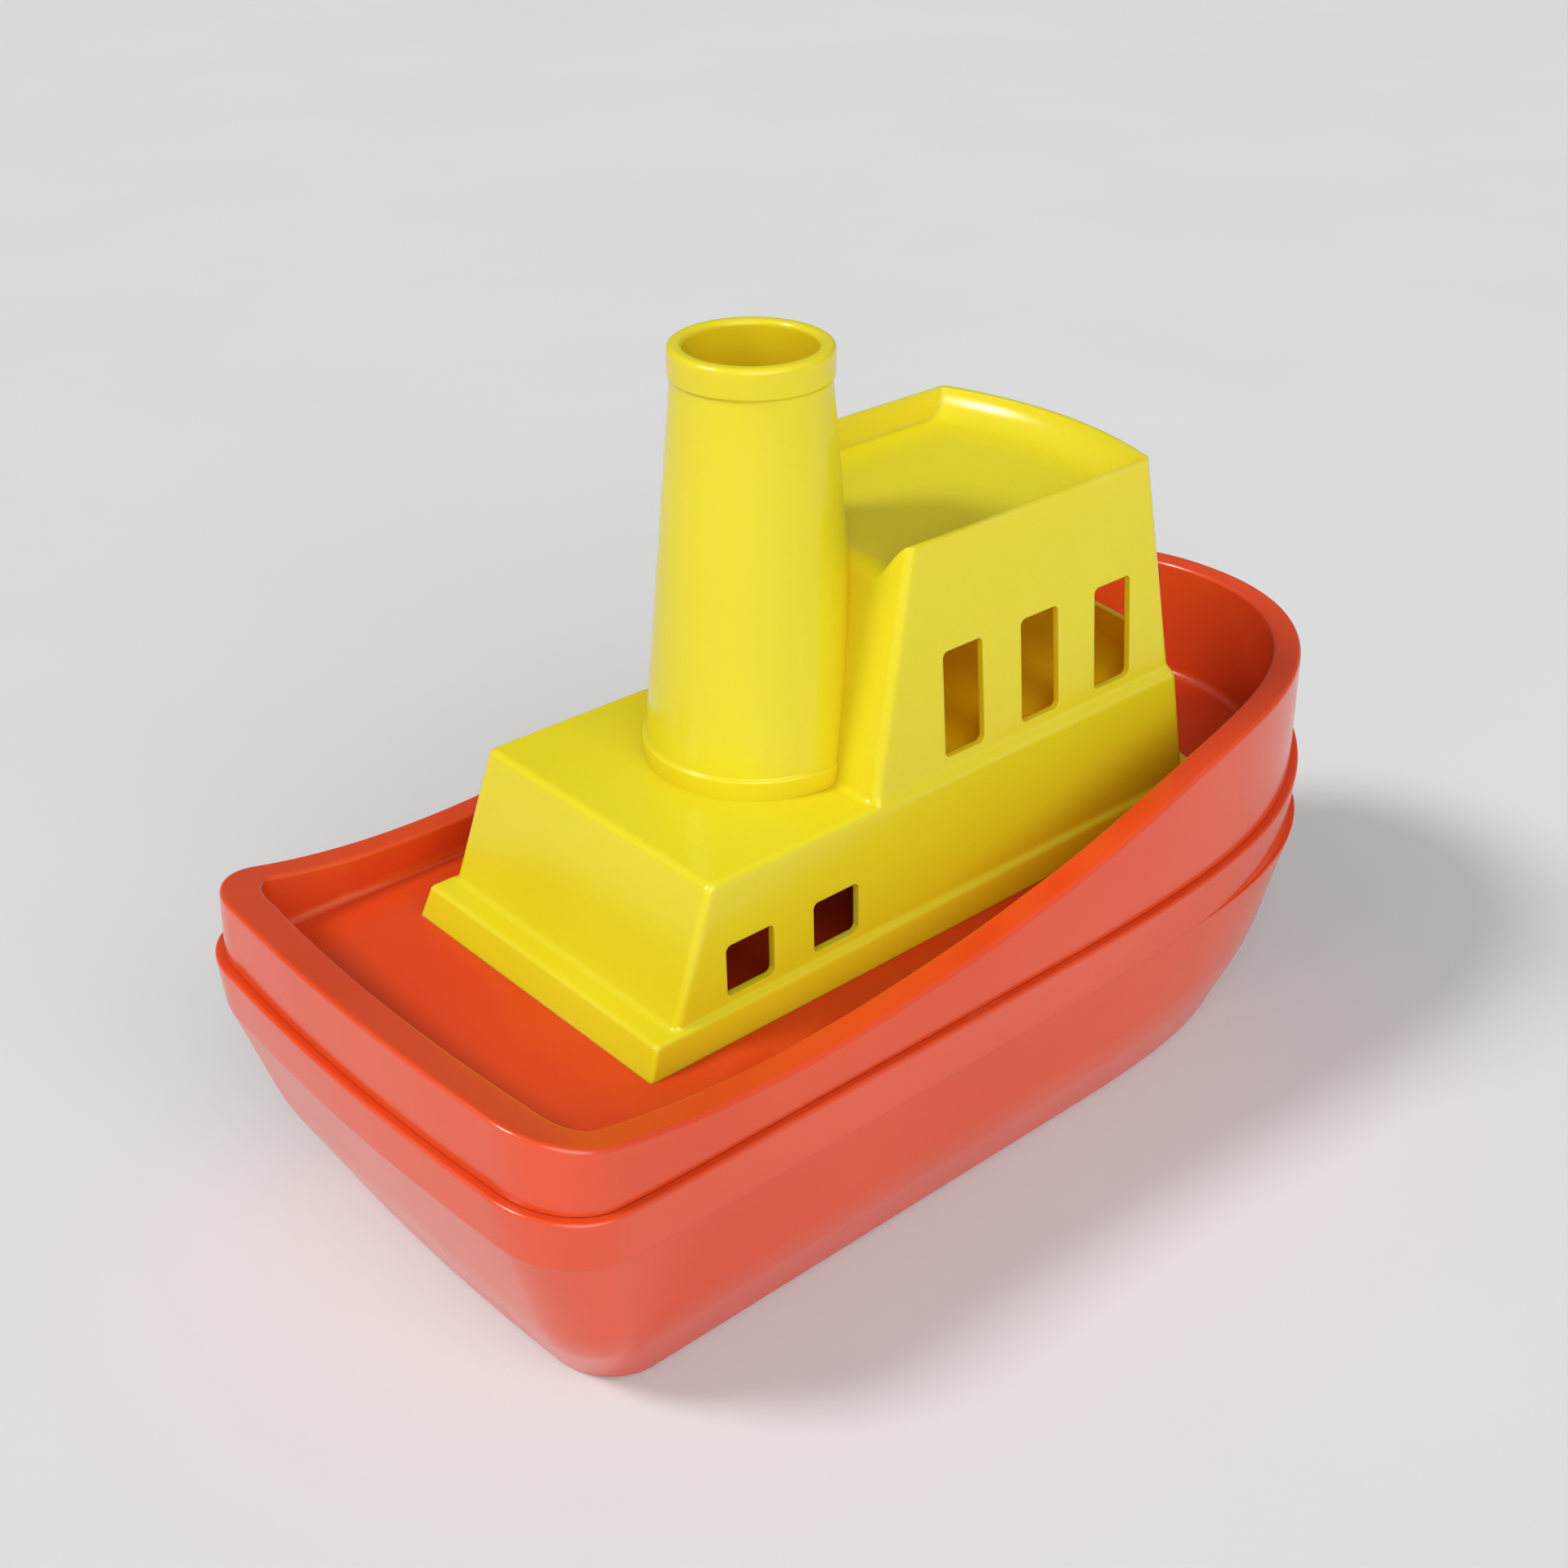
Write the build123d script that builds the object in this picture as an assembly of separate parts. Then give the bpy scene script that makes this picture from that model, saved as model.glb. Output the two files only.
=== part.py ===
# Toy boat in millimetres: hull, seal, deck, superstructure, funnel, screws and plugs.
# Frame: +X towards the bow, +Y to port, +Z up.  Origin: middle of the boat's
# length and beam, on the flat of the hull bottom.
from build123d import *
from collections import namedtuple
import math
import os

# ------------------------------------------------------------ shared dimensions
# Lengthwise places are stations, measured from the deckhouse's aft foot.
ORIGIN_STATION = 86.73
DECK_Z = 57.4         # deck surface above the hull bottom
WALL_DECK = 1.8       # deck moulding wall
GAP = 0.05            # radial clearance between mating mouldings
SLACK = 0.02          # hairline clearance of screws, plugs, posts and seal
CUT = 1.0             # how far a cutter runs past a face
BITE = 1.0            # how far a post or peg runs into the part it joins
HEAD_OVERLAP = 0.5    # how far a screw shank runs into its head

# Plan outlines of the hull. The last two columns are the exponents of the bow curve.
Outline = namedtuple("Outline", "stern crown half_beam corner_length corner_width "
                                "bow_start bow length_power width_power")
BULWARK_TOP = Outline(-42.84, 4.14, 62.64, 15.0, 19.2, 76.4, 217.1, 3.34, 2.17)
BULWARK_FOOT = Outline(-43.04, 4.14, 63.94, 15.0, 19.2, 76.4, 216.5, 3.34, 2.17)
HULL_TOP = Outline(-43.20, 2.80, 63.60, 14.1, 16.8, 108.0, 208.5, 2.85, 3.40)
CHINE = Outline(-33.73, 1.01, 59.64, 12.8, 13.9, 109.8, 199.5, 2.23, 4.22)
BOTTOM = Outline(-25.60, 2.44, 51.95, 13.3, 15.3, 105.1, 186.4, 3.11, 4.33)
WELL = Outline(-33.79, 4.14, 56.11, 6.0, 11.4, 76.4, 211.2, 3.34, 2.17)
MIN_CORNER = 1.5      # smallest corner length or width of an inset outline

# Points along each stretch of half an outline
STERN_POINTS, CORNER_POINTS, SIDE_POINTS, BOW_POINTS = 5, 6, 4, 13

# Sheer lines: station, height of the rim and of the hull joint above the deck
SHEER = (
    (-46.0, 18.2, 1.3), (-43.0, 17.4, 1.0), (-25.0, 12.6, -0.4), (5.0, 8.4, -0.7),
    (50.0, 9.7, -0.7), (100.0, 17.6, -0.6), (145.0, 27.5, -0.6), (185.0, 29.3, 0.4),
    (218.0, 29.9, 6.0), (222.0, 30.0, 7.0),
)
STATIONS, RIM_HEIGHTS, JOINT_HEIGHTS = zip(*SHEER)
SHEER_SPANS = 20      # spans of a sampled sheer line
SLAB_HALF_WIDTH = 100.0

# Height ranges of the raw blocks that are trimmed to the sheer lines
BAND_BLOCK_Z = (25.0, 80.0)
BAND_CAVITY_Z = (25.0, 90.0)
BULWARK_BLOCK_Z = (30.0, 100.0)
STRIP_BLOCK_Z = (40.0, 90.0)
WELL_BLOCK_Z = (20.0, 110.0)


def both_sides(*places):
    """Each (station, y) place with its mirror image to starboard."""
    return [(x, side * y) for x, y in places for side in (1, -1)]


# Hull screws and their posts
SCREWS = both_sides((-6.0, 38.0), (82.0, 41.0), (160.0, 30.0))
SEAT_Z = 33.0         # screw head seat
POST_Z = 37.0         # top of the hull screw posts
HEAD_R = 3.0
SHANK_R = 1.5
SCREW_BORE_R = HEAD_R + 0.6

# Pegs that hold the superstructure
PEGS = both_sides((14.5, 32.5), (150.0, 32.5))
PEG_R = 3.0
PEG_L = 9.0

# Heights above the deck
FLANGE_H = 6.92
HOUSE_H = 35.6        # deckhouse roof
TRAY_H = 80.9         # floor of the tray in the wheelhouse roof
TOP_H = 86.9          # top of the wheelhouse

# Funnel: radii, and heights above the deck
FUNNEL_X = 61.29
RING_R, RING_H = 23.63, 40.03
CONE_FOOT_R, CONE_TOP_R, CONE_TOP_H = 22.99, 15.91, 117.64
FOOT_LOW_H, FOOT_HIGH_H = 25.3, 27.8    # underside and top of the foot flange
FUNNEL_SHANK_R = 1.25
FUNNEL_SCREW_PITCH_R = 29.0
FUNNEL_SCREWS = [(FUNNEL_X + FUNNEL_SCREW_PITCH_R * math.cos(math.radians(angle)),
                  FUNNEL_SCREW_PITCH_R * math.sin(math.radians(angle)))
                 for angle in (120.0, 180.0, 240.0)]


# ------------------------------------------------------------------- sheer lines
def natural_spline(stations, heights):
    """Smooth curve through the given heights, as a function of the station."""
    count = len(stations)
    spans = [stations[i + 1] - stations[i] for i in range(count - 1)]
    slopes = [(heights[i + 1] - heights[i]) / spans[i] for i in range(count - 1)]
    upper = [0.0] + spans[1:]
    diagonal = [1.0] * count
    load = [0.0] * count
    for i in range(1, count - 1):
        factor = spans[i - 1] / diagonal[i - 1]
        diagonal[i] = 2 * (spans[i - 1] + spans[i]) - factor * upper[i - 1]
        load[i] = 6 * (slopes[i] - slopes[i - 1]) - factor * load[i - 1]
    bend = [0.0] * count    # second derivative at each station
    for i in range(count - 2, 0, -1):
        bend[i] = (load[i] - upper[i] * bend[i + 1]) / diagonal[i]

    def value(x):
        x = min(max(x, stations[0]), stations[-1])
        i = 0
        while i < count - 2 and x > stations[i + 1]:
            i += 1
        t = x - stations[i]
        return (heights[i] + t * (slopes[i] - spans[i] * (2 * bend[i] + bend[i + 1]) / 6)
                + t * t * bend[i] / 2 + t ** 3 * (bend[i + 1] - bend[i]) / (6 * spans[i]))
    return value


def shift(line, offset):
    """A sheer line raised by an offset."""
    return lambda x: line(x) + offset


rim = shift(natural_spline(STATIONS, RIM_HEIGHTS), DECK_Z)
joint = shift(natural_spline(STATIONS, JOINT_HEIGHTS), DECK_Z)


# ------------------------------------------------------------------- helpers
def half_outline(plan, inset=0.0):
    """Half of a plan outline, from the stern centre to the bow, at stations."""
    stern, half_beam, bow = plan.stern + inset, plan.half_beam - inset, plan.bow - inset
    corner_length = max(plan.corner_length - inset, MIN_CORNER)
    corner_width = max(plan.corner_width - inset, MIN_CORNER)
    points = []
    corner_y = half_beam - corner_width
    for i in range(STERN_POINTS):
        y = corner_y * i / STERN_POINTS
        points.append((stern + plan.crown * (y / half_beam) ** 2, y))
    corner_x = stern + plan.crown * (corner_y / half_beam) ** 2
    for i in range(CORNER_POINTS):
        angle = math.pi / 2 * i / CORNER_POINTS
        points.append((corner_x + corner_length * (1 - math.cos(angle)),
                       corner_y + corner_width * math.sin(angle)))
    side_x = corner_x + corner_length
    for i in range(SIDE_POINTS):
        points.append((side_x + (plan.bow_start - side_x) * i / SIDE_POINTS, half_beam))
    for i in range(BOW_POINTS):
        angle = math.pi / 2 * i / BOW_POINTS
        along = math.sin(angle) ** (2 / plan.length_power)
        points.append((plan.bow_start + (bow - plan.bow_start) * along,
                       half_beam * math.cos(angle) ** (2 / plan.width_power)))
    points.append((bow, 0.0))
    return points


def through(low, low_z, high, high_z, z):
    """Outline at height z on the straight lines joining two outlines.
    low_z and high_z are heights or functions of the station."""
    points = []
    for (xa, ya), (xb, yb) in zip(low, high):
        za = low_z(xa) if callable(low_z) else low_z
        zb = high_z(xb) if callable(high_z) else high_z
        t = (z - za) / (zb - za)
        points.append((xa + (xb - xa) * t, ya + (yb - ya) * t))
    return points


def ring(half, z):
    """Closed smooth wire at height z from half an outline."""
    points = [(x - ORIGIN_STATION, -y, z) for x, y in half]
    points += [(x - ORIGIN_STATION, y, z) for x, y in half[-2:0:-1]]
    return Wire([Edge.make_spline([Vector(*point) for point in points], periodic=True)])


def stack(*levels):
    """Ruled loft through (half outline, height) levels."""
    return Solid.make_loft([ring(half, z) for half, z in levels], ruled=True)


def prism(half, z_low, z_high):
    return stack((half, z_low), (half, z_high))


def leaning(inset):
    """Block with the lean of the bulwark's outer face, at an inset."""
    low, high = half_outline(BULWARK_FOOT, inset), half_outline(BULWARK_TOP, inset)
    return stack(*[(through(low, joint, high, rim, z), z) for z in BULWARK_BLOCK_Z])


def foot_strip(outer_inset, inner_inset):
    """Tall upright strip that follows the bulwark foot between two insets."""
    z_low, z_high = STRIP_BLOCK_Z
    return (prism(half_outline(BULWARK_FOOT, outer_inset), z_low, z_high)
            - prism(half_outline(BULWARK_FOOT, inner_inset), z_low - CUT, z_high + CUT))


def slab_edge(height, towards_stern):
    """Lengthwise edge at a height, which is a number or a function of station."""
    curved = callable(height)
    spans = SHEER_SPANS if curved else 1
    first, last = STATIONS[0], STATIONS[-1]
    stations = [first + (last - first) * i / spans for i in range(spans + 1)]
    if towards_stern:
        stations.reverse()
    points = [Vector(x - ORIGIN_STATION, -SLAB_HALF_WIDTH, height(x) if curved else height)
              for x in stations]
    return Edge.make_spline(points) if curved else Edge.make_line(*points)


def slab(z_low, z_high):
    """Everything between two heights, each a number or a function of station."""
    bottom, top = slab_edge(z_low, False), slab_edge(z_high, True)
    bow_end = Edge.make_line(bottom @ 1, top @ 0)
    stern_end = Edge.make_line(top @ 1, bottom @ 0)
    face = Face(Wire([bottom, bow_end, top, stern_end]))
    return Solid.extrude(face, Vector(0, 2 * SLAB_HALF_WIDTH, 0))


def rod(x, y, z_low, z_high, radius):
    """Upright cylinder at a station."""
    return Pos(x - ORIGIN_STATION, y, z_low) * Cylinder(
        radius, z_high - z_low, align=(Align.CENTER, Align.CENTER, Align.MIN))


def frustum(x, y, z, low_r, high_r, height):
    """Upright cone at a station."""
    return Pos(x - ORIGIN_STATION, y, z) * Cone(
        low_r, high_r, height, align=(Align.CENTER, Align.CENTER, Align.MIN))


def screw(x, y, seat_z, head_r, head_h, shank_r, shank_top, recess, tip=None):
    """Upright screw, head down. recess is the cross's (length, width, box height),
    its boxes centred on the head's face; tip is (end radius, height)."""
    length, width, height = recess
    body = (rod(x, y, seat_z - head_h, seat_z, head_r)
            + rod(x, y, seat_z - HEAD_OVERLAP, shank_top, shank_r))
    if tip:
        body = body + frustum(x, y, shank_top, shank_r, *tip)
    cross = Box(length, width, height) + Box(width, length, height)
    return one(body - Pos(x - ORIGIN_STATION, y, seat_z - head_h) * cross)


def one(shape):
    """The shape as a plain solid or compound of solids."""
    solids = shape.solids()
    return solids[0] if len(solids) == 1 else Compound(children=list(solids))


# ---------------------------------------------------------------- hull shell
CHINE_Z = 18.1        # height of the soft knuckle of the hull side
WALL_HULL = 2.4       # lower hull wall
SIDE_BLOCK_Z = 78.0   # height the hull side is carried up to before trimming
BAND_H = 11.9         # depth of the rubbing band below the joint
LEDGE_W = 2.0         # how far the rubbing band stands proud of the bulwark
BAND_TAPER = 0.9      # how much narrower the band is at its lower edge
BAND_ROOF = 2.6       # thickness left under the joint
SIDE_OVERLAP = 2.0    # hull side carried up into the band
SIDE_CAVITY_RISE = 3.2  # its cavity carried up into the band
LIP_H = 5.0           # locating lip above the joint
LIP_ROOT = 6.0        # lip below the joint
LIP_T = 1.2
LIP_CAVITY_RISE = 0.4  # start of the lip's cavity above the band's cavity
LIP_CAVITY_TOP_Z = 94.0
FLOOR_Z = 2.6
FLOOR_INSET = WALL_HULL + 1.2
CHINE_RISE = 0.6      # inner knuckle above the outer one
POST_FOOT_Z = 0.5
HULL_POST_R = 5.0
SHANK_PLAY = 0.25
GROOVE_OUTER, GROOVE_INNER = 0.3, 1.5   # insets of the seal groove
GROOVE_DEPTH = 1.0


def make_hull_shell():
    band_low = shift(joint, -BAND_H)
    ledge = half_outline(BULWARK_FOOT, -LEDGE_W)
    low_ledge = half_outline(BULWARK_FOOT, -LEDGE_W + BAND_TAPER)
    lip_inset = WALL_DECK + GAP

    def side_block(bottom, bottom_z, knuckle_z, chine, top):
        high = through(chine, CHINE_Z, top, band_low, SIDE_BLOCK_Z)
        return stack((bottom, bottom_z), (chine, knuckle_z), (high, SIDE_BLOCK_Z))

    side = side_block(half_outline(BOTTOM), 0.0, CHINE_Z,
                      half_outline(CHINE), half_outline(HULL_TOP))
    side = side & slab(-CUT, shift(band_low, SIDE_OVERLAP))
    band = stack(*[(through(low_ledge, band_low, ledge, joint, z), z) for z in BAND_BLOCK_Z])
    band = band & slab(band_low, joint)
    lip = leaning(lip_inset) & slab(shift(joint, -LIP_ROOT), shift(joint, LIP_H))

    side_cavity = side_block(half_outline(BOTTOM, FLOOR_INSET), FLOOR_Z, CHINE_Z + CHINE_RISE,
                             half_outline(CHINE, WALL_HULL), half_outline(HULL_TOP, WALL_HULL))
    side_cavity = side_cavity & slab(0.0, shift(band_low, SIDE_CAVITY_RISE))
    band_cavity = prism(half_outline(BULWARK_FOOT, -LEDGE_W + BAND_TAPER + WALL_HULL),
                        *BAND_CAVITY_Z)
    band_cavity = band_cavity & slab(shift(band_low, WALL_HULL), shift(joint, -BAND_ROOF))
    lip_cavity = leaning(lip_inset + LIP_T) & slab(
        shift(band_low, WALL_HULL + LIP_CAVITY_RISE), LIP_CAVITY_TOP_Z)

    hull = side + [band, lip]
    hull = hull - [side_cavity, band_cavity, lip_cavity]
    hull = hull + [rod(x, y, POST_FOOT_Z, POST_Z, HULL_POST_R) for x, y in SCREWS]
    hull = hull - [rod(x, y, -CUT, SEAT_Z, SCREW_BORE_R) for x, y in SCREWS]
    hull = hull - [rod(x, y, SEAT_Z - CUT, POST_Z + CUT, SHANK_R + SHANK_PLAY)
                   for x, y in SCREWS]
    # Groove for the seal, in the top of the rubbing band
    groove = foot_strip(GROOVE_OUTER, GROOVE_INNER)
    hull = hull - (groove & slab(shift(joint, -GROOVE_DEPTH), shift(joint, CUT)))
    return one(hull)


# ----------------------------------------------------------------- hull seal
SEAL_TOP_GAP = 0.01


def make_hull_seal():
    cord = foot_strip(GROOVE_OUTER + SLACK, GROOVE_INNER - SLACK)
    return one(cord & slab(shift(joint, -GROOVE_DEPTH + SLACK), shift(joint, -SEAL_TOP_GAP)))


# ------------------------------------------------------------- deck moulding
DECK_T = 2.5          # deck plate
WELL_DRAFT = 0.8      # how much narrower the well is at the deck
WELL_TOP_Z = 100.0
CHANNEL_LOW_Z = 31.0
BELOW_LOW_Z = 25.0
DECK_POST_R = 4.2
PILOT_DEPTH = 14.0
SOCKET_R = 5.0
SOCKET_EXTRA = 4.0    # socket length beyond the peg


def make_deck_moulding():
    body = leaning(0.0) & slab(DECK_Z - DECK_T, rim)
    inner_block = prism(half_outline(WELL, -WALL_DECK), *WELL_BLOCK_Z)
    # Hollow between the outer skin and the well wall, closed by the rim
    channel = leaning(WALL_DECK) & slab(CHANNEL_LOW_Z, shift(rim, -WALL_DECK))
    channel = channel - inner_block
    below = slab(BELOW_LOW_Z, joint) - inner_block
    well = stack((half_outline(WELL, WELL_DRAFT), DECK_Z), (half_outline(WELL), WELL_TOP_Z))
    deck = body - channel - below - well
    deck = deck + (
        [rod(x, y, POST_Z + SLACK, DECK_Z - BITE, DECK_POST_R) for x, y in SCREWS]
        + [rod(x, y, DECK_Z - PEG_L - SOCKET_EXTRA, DECK_Z - BITE, SOCKET_R) for x, y in PEGS])
    deck = deck - (
        [rod(x, y, POST_Z - CUT, POST_Z + PILOT_DEPTH, SHANK_R + SLACK) for x, y in SCREWS]
        + [rod(x, y, DECK_Z - PEG_L - 1.0, DECK_Z + CUT, PEG_R + GAP) for x, y in PEGS])
    return one(deck)


# -------------------------------------------------------- hull screws, plugs
def make_hull_screws():
    return Compound(children=[
        screw(x, y, SEAT_Z, head_r=HEAD_R, head_h=2.4, shank_r=SHANK_R,
              shank_top=POST_Z + 12.0, recess=(3.4, 0.8, 2.6), tip=(0.4, 1.6))
        for x, y in SCREWS])


PLUG_LOW_Z, PLUG_TOP_Z = 0.4, 6.0
PLUG_POCKET_Z = (4.4, 6.5)
PLUG_POCKET_R = 2.0


def make_screw_plugs():
    return Compound(children=[
        one(rod(x, y, PLUG_LOW_Z, PLUG_TOP_Z, SCREW_BORE_R - SLACK)
            - rod(x, y, *PLUG_POCKET_Z, PLUG_POCKET_R))
        for x, y in SCREWS])


# ------------------------------------------------------------- superstructure
WALL_TOP = 1.6
BULGE = 6.0           # crown of the curved front walls

# Plan sections: aft station, half width, station of the front corners
FLANGE_FOOT, FLANGE_TOP = (0.0, 40.0, 168.9), (2.54, 38.87, 166.6)
HOUSE_FOOT, HOUSE_TOP = (7.9, 37.66, 161.0), (18.29, 36.72, 155.6)
HOUSE_IN_FOOT, HOUSE_IN_TOP = (5.6, 37.65, 162.3), (17.7, 36.77, 155.9)
CABIN_FOOT, CABIN_TOP = (61.07, 36.35, 155.1), (75.13, 31.25, 146.8)
CABIN_AT_ROOF = (62.54, 35.85, 154.2)
TRAY_FOOT, TRAY_TOP = (55.0, 28.4, 143.8), (55.0, 30.4, 145.9)
HOUSE_SINK = 0.5      # deckhouse block below the flange top
CABIN_SINK = 6.0      # wheelhouse block below the deckhouse roof
FLANGE_ROUND = 1.0
HOUSE_ROUND = 1.6

# Side window rows: height range above the deck, then the station ranges
WINDOW_ROWS = (
    ((39.15, 62.6), ((82.8, 94.25), (105.75, 117.2), (128.7, 140.25))),
    ((9.15, 20.75), ((21.5, 33.85), (44.45, 56.8))),
)
WINDOW_ROUND = 1.3
WINDOW_CUT_W = 120.0
SCREEN_X, SCREEN_CUT_L = 155.0, 40.0    # front window cutter
SCREEN_HALF_WIDTH = 26.5
SCREEN_HEIGHTS = (42.0, 62.6)
SCREEN_ROUND = 2.0

BOSS_R = 3.3
BOSS_TOP_H = HOUSE_H - 0.8
BOSS_PILOT_TOP_H = HOUSE_H - 1.4
APERTURE_LOW_H = 20.0
APERTURE_TAPER_L = 50.0
PEG_POST_R, PEG_POST_H = 4.5, 9.0
PEG_CHAMFER = 0.8


def section(height, plan, inset):
    """Plan section with a flat aft end, straight sides and a curved front."""
    aft, width, front = plan
    aft = aft + inset - ORIGIN_STATION
    width = width - inset
    front = front - inset - ORIGIN_STATION
    z = height + DECK_Z
    return Wire([
        Edge.make_line((aft, width, z), (aft, -width, z)),
        Edge.make_line((aft, -width, z), (front, -width, z)),
        Edge.make_three_point_arc((front, -width, z), (front + BULGE, 0, z), (front, width, z)),
        Edge.make_line((front, width, z), (aft, width, z))])


def block(low_h, low_plan, high_h, high_plan, inset=0.0):
    return Solid.make_loft([section(low_h, low_plan, inset), section(high_h, high_plan, inset)],
                           ruled=True)


def lerp(a, b, t):
    return a + (b - a) * t


def blend(low_plan, high_plan, t):
    return [lerp(a, b, t) for a, b in zip(low_plan, high_plan)]


def round_upright(solid, radius):
    """Rounds the near-vertical edges of a lofted block."""
    edges = [e for e in solid.edges() if abs((e @ 1 - e @ 0).Z) > 0.8 * (e @ 1 - e @ 0).length]
    return solid.fillet(radius, edges)


def opening(x, size_x, size_y, heights, radius, axis):
    """Box cutter with its edges along the axis rounded."""
    low, high = heights
    cutter = Pos(x - ORIGIN_STATION, 0, DECK_Z + (low + high) / 2) * Box(
        size_x, size_y, high - low)
    return cutter.fillet(radius, cutter.edges().filter_by(axis))


def make_superstructure():
    flange = round_upright(block(0, FLANGE_FOOT, FLANGE_H, FLANGE_TOP), FLANGE_ROUND)
    house = round_upright(block(FLANGE_H - HOUSE_SINK, HOUSE_FOOT, HOUSE_H, HOUSE_TOP),
                          HOUSE_ROUND)
    cabin = round_upright(block(HOUSE_H - CABIN_SINK, CABIN_FOOT, TOP_H, CABIN_TOP),
                          HOUSE_ROUND)
    house_in = block(-CUT, HOUSE_IN_FOOT, HOUSE_H - WALL_TOP, HOUSE_IN_TOP, WALL_TOP)
    # The wheelhouse keeps a floor: the deckhouse roof runs on under it.
    ceiling_h = TRAY_H - WALL_TOP
    floor_t = CABIN_SINK / (TOP_H - HOUSE_H + CABIN_SINK)
    ceiling_t = (ceiling_h - HOUSE_H) / (TOP_H - HOUSE_H)
    cabin_in = block(HOUSE_H, blend(CABIN_FOOT, CABIN_TOP, floor_t),
                     ceiling_h, blend(CABIN_AT_ROOF, CABIN_TOP, ceiling_t), WALL_TOP)
    tray = block(TRAY_H, TRAY_FOOT, TOP_H + CUT, TRAY_TOP)
    part = flange + house + cabin - house_in - cabin_in - tray

    for heights, windows in WINDOW_ROWS:
        for aft, fore in windows:
            part = part - opening((aft + fore) / 2, fore - aft, WINDOW_CUT_W, heights,
                                  WINDOW_ROUND, Axis.Y)
    part = part - opening(SCREEN_X, SCREEN_CUT_L, 2 * SCREEN_HALF_WIDTH, SCREEN_HEIGHTS,
                          SCREEN_ROUND, Axis.X)

    # Bosses under the deckhouse roof for the funnel screws
    for x, y in FUNNEL_SCREWS:
        part = part + rod(x, y, DECK_Z + FOOT_HIGH_H + SLACK, DECK_Z + BOSS_TOP_H, BOSS_R)
    # Aperture the funnel is pushed up through; its taper fits the cone
    taper_r = lerp(CONE_FOOT_R, CONE_TOP_R, APERTURE_TAPER_L / (CONE_TOP_H - RING_H))
    part = part - (rod(FUNNEL_X, 0, DECK_Z + APERTURE_LOW_H, DECK_Z + RING_H + GAP, RING_R + GAP)
                   + frustum(FUNNEL_X, 0, DECK_Z + RING_H, CONE_FOOT_R + GAP, taper_r + GAP,
                             APERTURE_TAPER_L))
    for x, y in FUNNEL_SCREWS:
        part = part - rod(x, y, DECK_Z + FOOT_HIGH_H - CUT, DECK_Z + BOSS_PILOT_TOP_H,
                          FUNNEL_SHANK_R + SLACK)
    # Posts in the corners of the base, with the pegs below the deck line
    for x, y in PEGS:
        part = part + rod(x, y, DECK_Z, DECK_Z + PEG_POST_H, PEG_POST_R)
        peg = rod(x, y, DECK_Z - PEG_L, DECK_Z + BITE, PEG_R)
        lowest = peg.edges().sort_by(Axis.Z)[0]
        part = part + peg.chamfer(PEG_CHAMFER, PEG_CHAMFER, [lowest])
    return one(part)


# -------------------------------------------------------------------- funnel
WALL_FUNNEL = 2.2
FOOT_R = 33.0
COLLAR_R, FUNNEL_TOP_H = 16.45, 123.97
BORE_R = 13.8
FOOT_HOLE_R = 1.5

# Half section: radius, height above the deck
FUNNEL_PROFILE = (
    (RING_R - WALL_FUNNEL, FOOT_LOW_H), (FOOT_R, FOOT_LOW_H),
    (FOOT_R, FOOT_HIGH_H), (RING_R, FOOT_HIGH_H),
    (RING_R, RING_H - 0.6), (RING_R - 0.4, RING_H),
    (CONE_FOOT_R, RING_H), (CONE_TOP_R, CONE_TOP_H),
    (COLLAR_R - 0.3, CONE_TOP_H), (COLLAR_R, CONE_TOP_H + 0.3),
    (COLLAR_R, FUNNEL_TOP_H - 0.9), (COLLAR_R - 0.9, FUNNEL_TOP_H),
    (BORE_R + 0.7, FUNNEL_TOP_H), (BORE_R, FUNNEL_TOP_H - 0.7),
    (CONE_TOP_R - WALL_FUNNEL, CONE_TOP_H - 3.0), (RING_R - WALL_FUNNEL, RING_H - 3.0),
)


def make_funnel():
    points = [(radius, 0, DECK_Z + height) for radius, height in FUNNEL_PROFILE]
    outline = Wire([Edge.make_line(a, b) for a, b in zip(points, points[1:] + points[:1])])
    funnel = Solid.revolve(Face(outline), 360.0, Axis.Z)
    funnel = Pos(FUNNEL_X - ORIGIN_STATION, 0, 0) * funnel
    for x, y in FUNNEL_SCREWS:
        funnel = funnel - rod(x, y, DECK_Z + FOOT_LOW_H - CUT, DECK_Z + FOOT_HIGH_H + CUT,
                              FOOT_HOLE_R)
    return one(funnel)


def make_funnel_screws():
    return Compound(children=[
        screw(x, y, DECK_Z + FOOT_LOW_H, head_r=2.5, head_h=2.0, shank_r=FUNNEL_SHANK_R,
              shank_top=DECK_Z + HOUSE_H - 2.2, recess=(2.8, 0.7, 2.2))
        for x, y in FUNNEL_SCREWS])


os.makedirs("parts", exist_ok=True)
export_step(make_hull_shell(), "parts/hull_shell.step")
export_step(make_hull_seal(), "parts/hull_seal.step")
export_step(make_deck_moulding(), "parts/deck_moulding.step")
export_step(make_hull_screws(), "parts/hull_screws.step")
export_step(make_screw_plugs(), "parts/screw_plugs.step")
export_step(make_superstructure(), "parts/superstructure.step")
export_step(make_funnel(), "parts/funnel.step")
export_step(make_funnel_screws(), "parts/funnel_screws.step")
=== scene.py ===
# Toy boat: red hull and deck mouldings, yellow cabin block and funnel, on a studio floor.
# The bow points along +X, +Z is up, and the boat mirrors about y = 0.
# Lengths are millimetres. x is a station, counted from the aft edge of the cabin block's
# flange. Hull heights are above the hull bottom; cabin block heights and those marked
# "above the deck" start at DECK. Both become metres when a mesh is made.
import itertools
import math

import bmesh
import bpy
import numpy as np
from mathutils import Matrix, Vector


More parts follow.
